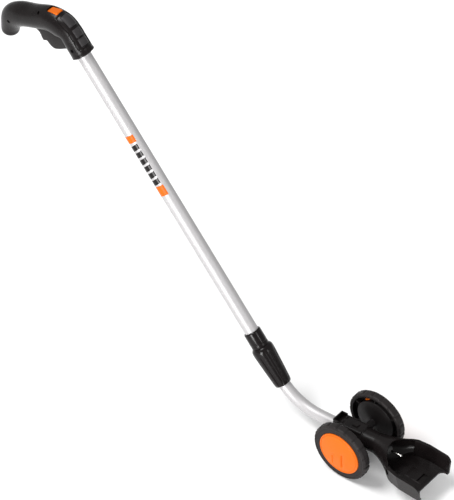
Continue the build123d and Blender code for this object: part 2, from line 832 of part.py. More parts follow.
def scoop(inset, low, high, low_back, high_back):
    """The scoop's plan outline, lofted from its floor to the top of its flared walls."""
    low_half = 37.0 - inset
    high_half = 41.5 - inset
    with BuildPart() as body:
        for height, back, half in ((low, low_back, low_half), (high, high_back, high_half)):
            with BuildSketch(Plane(origin=(axle_x, 0, height))):
                with BuildLine():
                    back_arc = ThreePointArc((back + 26, -half + 3), (back, 0), (back + 26, half - 3))
                    left_side = Line(back_arc @ 1, (back + 44, half))
                    left_edge = Line(left_side @ 1, (cradle_reach, half))
                    front_edge = Line(left_edge @ 1, (cradle_reach, -half))
                    right_edge = Line(front_edge @ 1, (back + 44, -half))
                    Line(right_edge @ 1, back_arc @ 0)
                make_face()
        loft()
    return body.part


def hood(inset, back_plane, back_radius):
    """The neck's round root, swelling forwards into the arch over the back of the scoop."""
    middle = (hood_top + floor_top - floor_thickness) / 2
    half_height = (hood_top - floor_top + floor_thickness) / 2
    with BuildPart() as body:
        with BuildSketch(back_plane):
            Circle(back_radius)
        with BuildSketch(Plane(origin=(axle_x + 56, 0, middle - 0.5), x_dir=(0, 1, 0), z_dir=(1, 0, 0))):
            Ellipse(23.5 - inset, 19.5 - inset)
        with BuildSketch(Plane(origin=(axle_x + 80, 0, middle), x_dir=(0, 1, 0), z_dir=(1, 0, 0))):
            Ellipse(hood_half_width + 3 - inset, half_height - inset)
        loft()
    return body.part


with BuildPart() as cradle:
    add(hood(0.0, neck_plane(head_front + 22), neck_root_radius))
    add(scoop(0.0, floor_top - floor_thickness, rim_height, 60.0, 56.0))
    with BuildSketch(neck_plane(head_front + gap)):
        Circle(neck_root_radius)
    extrude(amount=22 - gap)
    add(scoop(wall, floor_top, hood_top, 64.0, 60.0), mode=Mode.SUBTRACT)
    add(hood(wall, neck_plane(head_front + 34), neck_root_radius - 3), mode=Mode.SUBTRACT)
    # The rim: up over the arch at the back and level along the walls.
    with BuildSketch(side_plane()):
        with BuildLine():
            back_run = Polyline(
                (hood_front, hood_top + 10),
                (hood_front, hood_top - 4),
                (hood_front + 11, rim_height),
                (cradle_reach - rim_corner, rim_height),
            )
            corner = RadiusArc(back_run @ 1, (cradle_reach, rim_height - rim_corner), rim_corner)
            Polyline(
                corner @ 1,
                (cradle_reach + 5, rim_height - rim_corner),
                (cradle_reach + 5, hood_top + 10),
                back_run @ 0,
            )
        make_face()
    extrude(amount=60, both=True, mode=Mode.SUBTRACT)
    # Boss for the contact, standing forwards from the solid root of the neck.
    with BuildSketch(contact_plane(contact_boss_back)):
        Circle(8.5)
    extrude(amount=contact_back - contact_boss_back)
    with BuildSketch(neck_section):
        with BuildLine():
            Polyline(
                (flange_back, 0),
                (flange_back, 7.8),
                (flange_back + groove_depth, 7.8),
                (flange_back + groove_depth, 11.2),
                (flange_back, 11.2),
                (flange_back, flange_radius),
                (flange_front, flange_radius),
                (flange_front, journal_radius),
                (head_front + gap, journal_radius),
                (head_front + gap, 0),
                close=True,
            )
        make_face()
    revolve(axis=neck_axis)
    with BuildSketch(neck_plane(flange_back - 1)):
        Circle(neck_bore)
    extrude(amount=contact_back - flange_back + 1, mode=Mode.SUBTRACT)
    # The window for the catch plate, and the floor's front edge, set back from the walls' ends.
    with BuildSketch(Plane(origin=(axle_x, 0, 20))):
        with Locations((110, 0)):
            Rectangle(32, 22)
        with Locations((floor_front + 30, 0)):
            RectangleRounded(60, 64, 9)
    extrude(amount=26, mode=Mode.SUBTRACT)
save(cradle.part, "cradle")

with BuildPart() as latch_plate:
    with BuildSketch(Plane(origin=(axle_x, 0, floor_top - floor_thickness))):
        with Locations((110, 0)):
            Rectangle(32, 22)
    extrude(amount=floor_thickness + 0.6)
    # Blind slot that the catch drops into.
    with BuildSketch(Plane(origin=(axle_x, 0, floor_top + 0.6))):
        with Locations((119, 0)):
            Rectangle(8, 18)
    extrude(amount=-2.6, mode=Mode.SUBTRACT)
save(latch_plate.part, "latch_plate")

with BuildPart() as contact_block:
    with BuildSketch(contact_plane(contact_back)):
        Circle(6.5)
    extrude(amount=contact_front - contact_back)
    fillet(contact_block.faces().sort_by(neck_axis)[-1].edges(), radius=1.0)
save(contact_block.part, "contact_block")

with BuildPart() as contact_pin:
    with BuildSketch(contact_plane(contact_front)):
        Circle(contact_pin_radius)
    extrude(amount=contact_tip - contact_front)
    fillet(contact_pin.faces().sort_by(neck_axis)[-1].edges(), radius=1.4)
save(contact_pin.part, "contact_pin")
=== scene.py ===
import json
from math import cos, exp, pi, radians, sin, sqrt, tau

import bmesh
import bpy
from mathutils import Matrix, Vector


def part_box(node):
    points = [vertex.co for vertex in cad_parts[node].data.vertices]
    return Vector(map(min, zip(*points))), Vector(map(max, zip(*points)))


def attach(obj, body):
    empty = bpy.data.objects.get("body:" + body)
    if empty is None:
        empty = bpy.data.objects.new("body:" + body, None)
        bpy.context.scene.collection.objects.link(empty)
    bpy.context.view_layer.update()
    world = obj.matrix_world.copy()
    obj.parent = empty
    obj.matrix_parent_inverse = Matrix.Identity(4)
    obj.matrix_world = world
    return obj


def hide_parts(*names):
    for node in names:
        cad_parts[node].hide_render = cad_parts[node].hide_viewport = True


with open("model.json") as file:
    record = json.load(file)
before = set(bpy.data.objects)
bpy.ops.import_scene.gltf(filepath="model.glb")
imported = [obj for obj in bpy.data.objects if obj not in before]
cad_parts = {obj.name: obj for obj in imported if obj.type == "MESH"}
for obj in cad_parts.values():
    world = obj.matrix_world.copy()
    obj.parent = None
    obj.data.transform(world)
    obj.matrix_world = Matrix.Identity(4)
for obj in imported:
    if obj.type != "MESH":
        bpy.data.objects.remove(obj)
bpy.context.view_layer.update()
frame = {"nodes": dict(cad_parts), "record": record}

# The look of a wheeled, telescoping handle for cordless grass shears, round its CAD frame.
# Lengths in the sections below are in millimetres, and MM turns them into Blender's metres.
MM = 0.001
nodes = frame["nodes"]
scene = bpy.context.scene

# ---------------------------------------------------------------- directions and places
POLE_PITCH = radians(49.2)
NECK_PITCH = radians(8.0)
POLE_DIR = Vector((-cos(POLE_PITCH), 0, sin(POLE_PITCH)))
POLE_FRONT = Vector((sin(POLE_PITCH), 0, cos(POLE_PITCH)))
NECK_DIR = Vector((cos(NECK_PITCH), 0, sin(NECK_PITCH)))
NECK_UP = Vector((-sin(NECK_PITCH), 0, cos(NECK_PITCH)))
RIGHT = Vector((0, -1, 0))
FORWARD = Vector((1, 0, 0))
UP = Vector((0, 0, 1))


def middle(node):
    """The centre of a CAD node's box."""
    low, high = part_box(node)
    return (low + high) / 2


AXLE = middle("axle")
BEND_CORNER = AXLE - NECK_DIR * 123.7 * MM


def on_pole(along, front=0.0, side=0.0):
    """A point by its millimetres up the pole, out of its front and to the right."""
    return BEND_CORNER + (POLE_DIR * along + POLE_FRONT * front + RIGHT * side) * MM


def on_neck(along, up=0.0, side=0.0):
    """A point by its millimetres along the neck from the axle, above it and to the right."""
    return AXLE + (NECK_DIR * along + NECK_UP * up + RIGHT * side) * MM


def from_axle(forwards, height, side=0.0):
    """A point by its millimetres forwards of the axle, above the ground and to the right."""
    return Vector((AXLE.x + forwards * MM, -side * MM, height * MM))


# ---------------------------------------------------------------- materials
def base_material(name, colour, roughness, metallic=0.0):
    """A plain principled material and its main node."""
    material = bpy.data.materials.new(name)
    material.use_nodes = True
    shader = material.node_tree.nodes["Principled BSDF"]
    shader.inputs["Base Color"].default_value = (*colour, 1.0)
    shader.inputs["Roughness"].default_value = roughness
    shader.inputs["Metallic"].default_value = metallic
    return material, shader


def add_noise(material, scale, detail=4.0):
    """Noise in the object's own coordinates."""
    tree = material.node_tree
    place = tree.nodes.new("ShaderNodeTexCoord")
    noise = tree.nodes.new("ShaderNodeTexNoise")
    noise.inputs["Scale"].default_value = scale
    noise.inputs["Detail"].default_value = detail
    tree.links.new(place.outputs["Object"], noise.inputs["Vector"])
    return noise


def vary_roughness(material, shader, noise, low, high):
    """Let the noise move the roughness between two values."""
    tree = material.node_tree
    spread = tree.nodes.new("ShaderNodeMapRange")
    spread.inputs["To Min"].default_value = low
    spread.inputs["To Max"].default_value = high
    tree.links.new(noise.outputs["Fac"], spread.inputs["Value"])
    tree.links.new(spread.outputs["Result"], shader.inputs["Roughness"])


def vary_colour(material, shader, noise, dark, light):
    """Let the noise move the colour between two shades."""
    tree = material.node_tree
    ramp = tree.nodes.new("ShaderNodeValToRGB")
    ramp.color_ramp.elements[0].position = 0.3
    ramp.color_ramp.elements[0].color = (*dark, 1.0)
    ramp.color_ramp.elements[1].position = 0.7
    ramp.color_ramp.elements[1].color = (*light, 1.0)
    tree.links.new(noise.outputs["Fac"], ramp.inputs["Fac"])
    tree.links.new(ramp.outputs["Color"], shader.inputs["Base Color"])


def add_bump(material, shader, noise, strength, depth):
    """Let the noise raise the surface a little."""
    tree = material.node_tree
    bump = tree.nodes.new("ShaderNodeBump")
    bump.inputs["Strength"].default_value = strength
    bump.inputs["Distance"].default_value = depth
    tree.links.new(noise.outputs["Fac"], bump.inputs["Height"])
    tree.links.new(bump.outputs["Normal"], shader.inputs["Normal"])


def moulded_plastic(name, dark, light, rough_low, rough_high, bump):
    """Black moulded plastic with a fine spark-eroded grain."""
    material, shader = base_material(name, light, rough_high)
    shader.inputs["Specular IOR Level"].default_value = 0.17
    patches = add_noise(material, 60.0)
    vary_colour(material, shader, patches, dark, light)
    vary_roughness(material, shader, patches, rough_low, rough_high)
    grain = add_noise(material, 2400.0, 3.0)
    add_bump(material, shader, grain, bump, 0.0001)
    return material


def gloss_plastic(name, colour, roughness, coat):
    """Smooth plastic with a polished skin."""
    material, shader = base_material(name, colour, roughness)
    shader.inputs["Coat Weight"].default_value = coat
    shader.inputs["Coat Roughness"].default_value = 0.08
    shader.inputs["Specular IOR Level"].default_value = 0.15
    ripple = add_noise(material, 90.0, 2.0)
    vary_roughness(material, shader, ripple, roughness * 0.8, roughness * 1.2)
    add_bump(material, shader, ripple, 0.05, 0.0004)
    return material


def drawn_metal(name, dark, light, rough_low, rough_high, metallic):
    """Metal with a fine satin grain."""
    material, shader = base_material(name, light, rough_high, metallic)
    grain = add_noise(material, 700.0, 3.0)
    vary_colour(material, shader, grain, dark, light)
    vary_roughness(material, shader, grain, rough_low, rough_high)
    add_bump(material, shader, grain, 0.04, 0.0001)
    return material


# Moulded plastics: dark and light shades, lowest and highest roughness, and the grain's strength.
MOULDED = {
    "casing_black": ((0.005, 0.0038, 0.0038), (0.008, 0.0062, 0.0062), 0.24, 0.31, 0.15),
    "soft_pad": ((0.026, 0.024, 0.025), (0.036, 0.034, 0.035), 0.36, 0.46, 0.4),
    "wheel_black": ((0.006, 0.005, 0.005), (0.01, 0.0085, 0.0085), 0.36, 0.46, 0.2),
    "tyre": ((0.013, 0.011, 0.011), (0.019, 0.016, 0.016), 0.42, 0.52, 0.3),
    "bush_plastic": ((0.06, 0.06, 0.06), (0.08, 0.08, 0.08), 0.45, 0.55, 0.2),
}
# Polished plastics: colour, roughness and the weight of the clear skin.
POLISHED = {
    "gloss_black": ((0.005, 0.0035, 0.0035), 0.22, 0.1),
    "orange": ((0.61, 0.115, 0.0025), 0.38, 0.0),
}
# Metals: dark and light shades, lowest and highest roughness, and how metallic they look.
METALS = {
    "tube_aluminium": ((0.42, 0.41, 0.415), (0.47, 0.46, 0.465), 0.44, 0.52, 0.4),
    "steel": ((0.42, 0.42, 0.44), (0.55, 0.55, 0.57), 0.25, 0.4, 1.0),
    "contact_metal": ((0.8, 0.78, 0.75), (0.88, 0.86, 0.83), 0.15, 0.25, 1.0),
}
MATERIALS = {name: moulded_plastic(name, *look) for name, look in MOULDED.items()}
MATERIALS.update({name: gloss_plastic(name, *look) for name, look in POLISHED.items()})
MATERIALS.update({name: drawn_metal(name, *look) for name, look in METALS.items()})

for row in frame["record"]["subparts"]:
    cad_piece = nodes[row["node"]]
    cad_piece.data.materials.clear()
    cad_piece.data.materials.append(MATERIALS[row["material_slot"]])

# ---------------------------------------------------------------- mesh helpers
def mesh_object(name, points, faces):
    """A new object from points and faces, with doubled points merged and faces turned outwards."""
    mesh = bpy.data.meshes.new(name)
    mesh.from_pydata([tuple(point) for point in points], [], faces)
    work = bmesh.new()
    work.from_mesh(mesh)
    bmesh.ops.remove_doubles(work, verts=work.verts, dist=1e-6)
    bmesh.ops.dissolve_degenerate(work, edges=work.edges, dist=1e-7)
    bmesh.ops.recalc_face_normals(work, faces=work.faces)
    work.to_mesh(mesh)
    work.free()
    piece = bpy.data.objects.new(name, mesh)
    scene.collection.objects.link(piece)
    return piece


def skin(name, rings, looped=False):
    """Skin rings of points that all have the same count; a looped skin joins the last to the first."""
    count = len(rings[0])
    points = [point for ring in rings for point in ring]
    faces = []
    spans = len(rings) if looped else len(rings) - 1
    for span in range(spans):
        near = span * count
        far = (span + 1) % len(rings) * count
        for step in range(count):
            following = (step + 1) % count
            faces.append((near + step, near + following, far + following, far + step))
    if not looped:
        faces.append(tuple(range(count)))
        faces.append(tuple(range((len(rings) - 1) * count, len(rings) * count)))
    return mesh_object(name, points, faces)


def lathe(name, origin, direction, profile, steps=144, shape=None):
    """Turn a closed profile of (along, radius) round an axis; shape may alter a point by its angle.

    Angles run from forwards to up on the wheels, and from the front to the right on the pole."""
    on_the_axle = abs(direction.y) > 0.5
    across = FORWARD if on_the_axle else direction.cross(RIGHT).normalized()
    other = UP if on_the_axle else RIGHT
    rings = []
    for along, radius in profile:
        ring = []
        for step in range(steps):
            angle = tau * step / steps
            here, out = (along, radius) if shape is None else shape(along, radius, angle)
            spoke = across * cos(angle) + other * sin(angle)
            ring.append(origin + (direction * here + spoke * out) * MM)
        rings.append(ring)
    return skin(name, rings, looped=True)


def rounded(profile, corner=0.4, steps=3):
    """Round every corner of a closed profile by up to that many millimetres."""
    result = []
    for place, point in enumerate(profile):
        here = Vector(point)
        before = Vector(profile[place - 1]) - here
        after = Vector(profile[(place + 1) % len(profile)]) - here
        reach = min(corner, before.length * 0.4, after.length * 0.4)
        if here.y < 0.01 or reach < 0.02:
            result.append(tuple(here))
            continue
        start = here + before.normalized() * reach
        finish = here + after.normalized() * reach
        for step in range(steps + 1):
            t = step / steps
            result.append(tuple(start.lerp(here, t).lerp(here.lerp(finish, t), t)))
    return result


def apply_modifiers(piece):
    """Turn what the modifiers show into the piece's own mesh."""
    graph = bpy.context.evaluated_depsgraph_get()
    graph.update()
    mesh = bpy.data.meshes.new_from_object(piece.evaluated_get(graph))
    piece.modifiers.clear()
    piece.data = mesh


def round_edges(piece, width, segments=3, angle=30.0):
    """Round the sharp edges of a piece."""
    bevel = piece.modifiers.new("round", "BEVEL")
    bevel.width = width * MM
    bevel.segments = segments
    bevel.limit_method = "ANGLE"
    bevel.angle_limit = radians(angle)
    bevel.use_clamp_overlap = True
    apply_modifiers(piece)


def carve(piece, cutter):
    """Take a cutter's form out of a piece, and remove the cutter."""
    boolean = piece.modifiers.new("carve", "BOOLEAN")
    boolean.operation = "DIFFERENCE"
    boolean.solver = "EXACT"
    boolean.object = cutter
    apply_modifiers(piece)
    bpy.data.objects.remove(cutter)


def prism(name, outline, origin, across, upward, depth):
    """A solid from a flat outline, half its depth to each side of the outline's plane."""
    normal = across.cross(upward).normalized()
    rings = []
    for offset in (-depth / 2, depth / 2):
        rings.append([origin + (across * x + upward * y + normal * offset) * MM for x, y in outline])
    return skin(name, rings)


def smooth_outline(points, steps=6):
    """A smooth open curve through points, with this many steps between neighbours."""
    result = []
    last = len(points) - 1
    for place in range(last):
        p0, p1, p2, p3 = (Vector(points[min(max(place + shift, 0), last)]) for shift in (-1, 0, 1, 2))
        for step in range(steps):
            t = step / steps
            result.append(tuple(0.5 * (2 * p1 + (p2 - p0) * t + (2 * p0 - 5 * p1 + 4 * p2 - p3) * t * t
                                       + (3 * p1 - p0 - 3 * p2 + p3) * t ** 3)))
    result.append(tuple(points[-1]))
    return result


def rounded_box(length, width, corner, steps=5):
    """The outline of a rectangle with round corners."""
    outline = []
    for quarter, (sx, sy) in enumerate(((1, 1), (-1, 1), (-1, -1), (1, -1))):
        for step in range(steps + 1):
            angle = pi / 2 * (quarter + step / steps)
            outline.append((sx * (length / 2 - corner) + corner * cos(angle),
                            sy * (width / 2 - corner) + corner * sin(angle)))
    return outline


def finish_piece(piece, body, slot, replaced=(), sharp=32.0):
    """Shade a piece, give it its material and tie it to its CAD body."""
    piece.data.shade_smooth()
    piece.data.set_sharp_from_angle(angle=radians(sharp))
    piece.data.materials.clear()
    piece.data.materials.append(MATERIALS[slot])
    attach(piece, body)
    if replaced:
        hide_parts(*replaced)


def smooth_step(value, low, high):
    """0 below low, 1 above high and smooth between."""
    share = min(1.0, max(0.0, (value - low) / (high - low)))
    return share * share * (3 - 2 * share)


# ---------------------------------------------------------------- wheels
WHEEL_RADIUS = 49.0
WHEEL_INNER = 36.0
WHEEL_OUTER = 50.0
TYRE_SEAT = 44.5
CAP_RADIUS = 36.3
TREAD_FACETS = 18
DOME_RADIUS = 34.0
GROOVE_RADIUS = 42.5
HUB_RADIUS = 6.5
AXLE_BORE = 4.06
RIB_COUNT = 6
CLIP_ANGLE = radians(124.0)  # the first cap clip, turned from forwards towards the top
DOME_EDGE = CAP_RADIUS - 3.6  # the outer radius of the cap's dome
DOME_RISE = 2.3


def near_facet_edge(angle, count):
    """How far an angle is from the nearest crease between facets, as 0 at a crease to 1 midway."""
    share = angle / tau * count
    return abs(share - round(share)) * 2


def tread(along, radius, angle):
    """Flatten the running face into facets, with a crease between neighbours."""
    if radius < WHEEL_RADIUS - 2.2:
        return along, radius
    share = near_facet_edge(angle, TREAD_FACETS)
    flat = pi / TREAD_FACETS
    sagged = radius / cos(flat * (1 - share))
    crease = 2.2 * exp(-(share / 0.22) ** 2)
    return along, sagged - crease


def make_tyre(side_name, direction):
    """A hard rubber rim with facets round its tread and a chamfered shoulder on each side."""
    profile = rounded([
        (WHEEL_INNER, TYRE_SEAT),
        (WHEEL_INNER, WHEEL_RADIUS - 2.0),
        (WHEEL_INNER + 1.8, WHEEL_RADIUS - 0.1),
        (WHEEL_OUTER - 3.0, WHEEL_RADIUS - 0.1),
        (WHEEL_OUTER - 0.2, WHEEL_RADIUS - 2.4),
        (WHEEL_OUTER, WHEEL_RADIUS - 3.4),
        (WHEEL_OUTER, TYRE_SEAT),
    ], 0.7, 3)
    tyre = lathe(f"tyre_tread_{side_name}", AXLE, direction, profile, TREAD_FACETS * 20, tread)
    finish_piece(tyre, f"wheel_{side_name}", "tyre", [f"tyre_{side_name}"], 40.0)


def make_wheel(side_name, direction):
    """The moulded wheel: a shallow dome inside, a deep ring groove with ribs, and a flat outside."""
    profile = rounded([
        (19.45, AXLE_BORE),
        (19.45, HUB_RADIUS),
        (31.5, HUB_RADIUS),
        (35.0, 26.0),
        (37.5, DOME_RADIUS),
        (45.5, DOME_RADIUS),
        (45.5, GROOVE_RADIUS),
        (36.5, GROOVE_RADIUS),
        (36.5, TYRE_SEAT),
        (49.6, TYRE_SEAT),
        (49.6, CAP_RADIUS + 0.2),
        (48.0, CAP_RADIUS + 0.2),
        (48.0, DOME_RADIUS - 2.6),
        (39.8, DOME_RADIUS - 2.6),
        (37.6, 26.0),
        (34.3, HUB_RADIUS),
        (44.0, HUB_RADIUS),
        (44.0, AXLE_BORE),
    ], 0.6, 3)
    wheel = lathe(f"wheel_disc_{side_name}", AXLE, direction, profile, 160)
    finish_piece(wheel, f"wheel_{side_name}", "wheel_black", [f"wheel_{side_name}"])
    # Ribs across the groove.
    for rib in range(RIB_COUNT):
        angle = CLIP_ANGLE + tau * (rib + 0.5) / RIB_COUNT
        out = FORWARD * cos(angle) + UP * sin(angle)
        along = direction.cross(out)
        centre = AXLE + (out * (DOME_RADIUS + GROOVE_RADIUS) / 2 + direction * 41.7) * MM
        web = prism(f"wheel_rib_{side_name}_{rib}", rounded_box(GROOVE_RADIUS - DOME_RADIUS + 1, 7.8, 0.5),
                    centre, out, direction, 1.8)
        round_edges(web, 0.3, 2)
        finish_piece(web, f"wheel_{side_name}", "wheel_black")


def cap_relief(along, radius, angle):
    """Sink two upright valleys in the cap's face, the sides of a raised band below its middle."""
    if along < WHEEL_OUTER + 0.9 or radius > CAP_RADIUS - 4.5:
        return along, radius
    forwards, height = radius * cos(angle), radius * sin(angle)
    valley = 0.0
    for place, top, depth in ((7.0, 3.0, 2.6), (-10.0, -8.0, 1.8)):
        band = smooth_step(height, -27.0, -23.0) * smooth_step(-height, -top - 2, -top + 2)
        valley += depth * exp(-((forwards - place) / 1.3) ** 2) * band
    return along - valley, radius


def make_cap(side_name, direction):
    """An orange cap: a raised rim, a narrow valley inside it and a shallow dome."""
    face = WHEEL_OUTER + 3.3
    dome = []
    for step in range(37):
        radius = DOME_EDGE * (1 - step / 36)
        dome.append((face - DOME_RISE * (radius / DOME_EDGE) ** 2, radius))
    profile = [
        (48.1, CAP_RADIUS - 2.4),
        (48.1, CAP_RADIUS - 0.05),
        (WHEEL_OUTER + 0.2, CAP_RADIUS - 0.05),
        (WHEEL_OUTER + 0.8, CAP_RADIUS - 0.35),
        (WHEEL_OUTER + 1.15, CAP_RADIUS - 1.1),
        (WHEEL_OUTER + 1.1, CAP_RADIUS - 2.0),
        (WHEEL_OUTER + 0.3, CAP_RADIUS - 2.6),
        (WHEEL_OUTER + 0.3, CAP_RADIUS - 3.1),
        *dome,
        (face - 4.3, 0.0),
        (face - 4.3, 12.0),
        (WHEEL_OUTER - 1.0, CAP_RADIUS - 3.0),
    ]
    cap = lathe(f"cap_face_{side_name}", AXLE, direction, profile, 240, cap_relief)
    finish_piece(cap, f"wheel_{side_name}", "orange", [f"hubcap_{side_name}"], 50.0)
    # The cap's spring clips, which show in the groove on the wheel's inner side.
    for clip in range(2):
        angle = CLIP_ANGLE + tau * clip / 2
        out = FORWARD * cos(angle) + UP * sin(angle)
        along = direction.cross(out)
        centre = AXLE + (out * 35.2 + direction * 44.9) * MM
        tab = prism(f"cap_clip_{side_name}_{clip}", rounded_box(8.0, 6.6, 1.2), centre, along, direction, 2.0)
        round_edges(tab, 0.4, 2)
        finish_piece(tab, f"wheel_{side_name}", "orange")


for side_name, direction in (("right", RIGHT), ("left", -RIGHT)):
    make_tyre(side_name, direction)
    make_wheel(side_name, direction)
    make_cap(side_name, direction)

# ---------------------------------------------------------------- clamp on the pole
NUT_LOW = 38.0
NUT_HIGH = 107.0
NUT_FLATS = 10
NUT_NECK_RADIUS = 13.6
NUT_FLARE = 3.7  # how much wider the nut is below its head than at its neck


def flutes(along, radius, angle):
    """Long shallow flutes round the nut that fade out below its head."""
    if radius < 12.0 or not NUT_LOW + 1 < along < NUT_HIGH - 3:
        return along, radius
    share = near_facet_edge(angle, NUT_FLATS)
    fade = min(1.0, (NUT_HIGH - 8 - along) / 6, (along - NUT_LOW) / 3)
    return along, radius - 1.1 * max(0.0, fade) * exp(-(share / 0.2) ** 2)


def make_nut():
    """The tapered, fluted clamp nut."""
    outside = []
    for step in range(25):
        share = step / 24
        along = NUT_LOW + 5 + (NUT_HIGH - 15 - NUT_LOW) * share
        outside.append((along, NUT_NECK_RADIUS + NUT_FLARE * share ** 0.9))
    profile = [
        (NUT_LOW, 11.1),
        (NUT_LOW, 12.2),
        (NUT_LOW + 0.8, 12.9),
        *outside,
        (NUT_HIGH - 7.0, 17.3),
        (NUT_HIGH - 4.0, 16.9),
        (NUT_HIGH - 2.0, 16.0),
        (NUT_HIGH - 0.6, 14.9),
        (NUT_HIGH, 13.8),
        (NUT_HIGH, 12.66),
        (83.65, 12.66),
        (53.65, 11.1),
    ]
    nut = lathe("fluted_nut", BEND_CORNER, POLE_DIR, profile, 240, flutes)
    finish_piece(nut, "twist_nut", "gloss_black", ["twist_nut"], 40.0)


def make_sleeve():
    """The gloss sleeve above the nut, with a shallow step ring near each end."""
    profile = rounded([
        (84.0, 9.9),
        (84.0, 12.6),
        (107.35, 12.6),
        (107.35, 13.8),
        (112.0, 13.8),
        (112.6, 13.4),
        (113.6, 13.4),
        (114.2, 13.8),
        (133.0, 13.6),
        (134.5, 12.6),
        (134.5, 11.1),
        (100.0, 11.1),
        (100.0, 9.9),
    ], 0.4, 3)
    sleeve = lathe("gloss_sleeve", BEND_CORNER, POLE_DIR, profile, 160)
    finish_piece(sleeve, "handle_and_upper_tube", "gloss_black", ["clamp_sleeve"])


make_nut()
make_sleeve()

# ---------------------------------------------------------------- grip casing and its pad
GRIP_FOOT = 631.0  # up the pole
GRIP_RADIUS = 17.8
GRIP_OFFSET = 1.2
POMMEL_ROUND = 8.0
PAD_LOBES = (17.5, 33.0, 48.5)  # spine distances of the pad's lobes
PAD_START = 9.5
PAD_END = 60.0
PAD_TOP = -1.35  # the bed's face and floor, out from the casing's plain form
PAD_FLOOR = -2.2
CUSHION_HALF_LENGTH = 6.2
CUSHION_HEIGHT = 1.9
FORE_TURN = 180.0 - 49.2  # the way the straight lower part runs, in degrees


def fore_station(along, radius=GRIP_RADIUS):
    """A round station on the straight lower part of the grip."""
    place = on_pole(GRIP_FOOT + along, GRIP_OFFSET)
    return ((place.x - AXLE.x) / MM, place.z / MM, FORE_TURN, radius, radius)


# The button on top of the grip: its size, the middle of its face and how it lies.
BUTTON_LENGTH = 21.0
BUTTON_WIDTH = 14.0
BUTTON_TOP = from_axle(-589.0, 565.2)
BUTTON_TILT = radians(16.0)
BUTTON_ALONG = Vector((cos(BUTTON_TILT), 0, sin(BUTTON_TILT)))
BUTTON_UP = Vector((-sin(BUTTON_TILT), 0, cos(BUTTON_TILT)))

# Screw wells on the grip's right side: forwards from the axle, height, how far out the well's floor
# is from the middle plane, and radius.
WELL_DEPTH = 20.0
SCREW_WELLS = [(-668.0, 509.0, 14.2, 2.8), (-611.0, 555.0, 6.2, 2.2), (-541.3, 523.0, 14.2, 2.8)]

# Forwards from the axle, height, direction in degrees, half height and half width.
GRIP_STATIONS = [
    fore_station(0), fore_station(13), fore_station(26), fore_station(38),
    (-573.5, 544.5, 166.0, 21.5, 18.8),
    (-596.0, 544.5, 192.0, 20.5, 18.4),
    (-626.0, 532.5, 203.0, 19.0, 18.0),
    (-655.5, 520.0, 210.0, 19.8, 18.0),
    (-673.0, 505.5, 237.0, 19.2, 17.0),
    (-679.5, 485.0, 262.0, 15.2, 14.6),
    (-681.0, 470.0, 268.0, 13.4, 13.2),
]


def blend_stations(share, before, start, finish, after):
    """A smooth in-between of four neighbouring stations."""
    mixed = []
    for p0, p1, p2, p3 in zip(before, start, finish, after):
        mixed.append(0.5 * (2 * p1 + (p2 - p0) * share + (2 * p0 - 5 * p1 + 4 * p2 - p3) * share ** 2
                            + (3 * p1 - p0 - 3 * p2 + p3) * share ** 3))
    return mixed


def grip_spine(step_length=1.1):
    """Stations close together along the grip, each with its distance from the foot."""
    result = []
    travelled = 0.0
    last = len(GRIP_STATIONS) - 1
    for place in range(last):
        start, finish = GRIP_STATIONS[place], GRIP_STATIONS[place + 1]
        before = GRIP_STATIONS[max(place - 1, 0)]
        after = GRIP_STATIONS[min(place + 2, last)]
        length = sqrt((finish[0] - start[0]) ** 2 + (finish[1] - start[1]) ** 2)
        count = max(2, int(length / step_length))
        for step in range(count):
            result.append((travelled + length * step / count,
                           blend_stations(step / count, before, start, finish, after)))
        travelled += length
    result.append((travelled, list(GRIP_STATIONS[-1])))
    return result


SPINE = grip_spine()
SPINE_LENGTH = SPINE[-1][0]


def grip_point(station, angle, lift=0.0, shrink=0.0):
    """A point on the grip; the angle runs from the front or top of its section to the right."""
    forwards, height, turn, half_height, half_width = station
    turn = radians(turn)
    outward = Vector((sin(turn), 0, -cos(turn)))
    return (from_axle(forwards, height) + (outward * (half_height + lift - shrink) * cos(angle)
                                           + RIGHT * (half_width + lift - shrink) * sin(angle)) * MM)


def pad_edge(spine):
    """The pad's half angle at a distance up the spine, wider at its three lobes."""
    lobes = [sqrt(max(0.0, 1 - ((spine - centre) / 8.5) ** 2)) for centre in PAD_LOBES]
    return radians(38.0 + 12.0 * max(lobes))


def casing_lift(spine, angle):
    """How far the casing's skin stands off its plain form: the pad's bed and the parting line."""
    angle = (angle + pi) % tau - pi
    bed = smooth_step(pad_edge(spine) - abs(angle), -0.02, 0.05)
    bed *= smooth_step(spine, PAD_START, PAD_START + 1.4) * smooth_step(-spine, -PAD_END, -PAD_END + 1.4)
    parting = exp(-(angle / 0.012) ** 2) + exp(-((abs(angle) - pi) / 0.012) ** 2)
    flare = 0.5 * smooth_step(-spine, -6.0, -2.5)
    return flare - 1.7 * bed - 0.3 * parting * (1 - bed)


def end_shrink(spine):
    """How far the section draws in at the rounded foot and pommel."""
    left = SPINE_LENGTH - spine
    shrink = 0.0
    if left < POMMEL_ROUND:
        shrink = POMMEL_ROUND - sqrt(max(0.0, POMMEL_ROUND ** 2 - (POMMEL_ROUND - left) ** 2))
    if spine < 1.2:
        shrink = max(shrink, 1.2 - sqrt(max(0.0, 1.2 ** 2 - (1.2 - spine) ** 2)))
    return shrink


def casing_angles():
    """Angles round the grip, closer together at the parting line."""
    fine = [radians(extra) for extra in (-1.4, -0.7, 0.7, 1.4)]
    even = [tau * step / 150 for step in range(150)]
    return sorted({round(angle % tau, 6) for angle in even + fine + [pi + extra for extra in fine]})


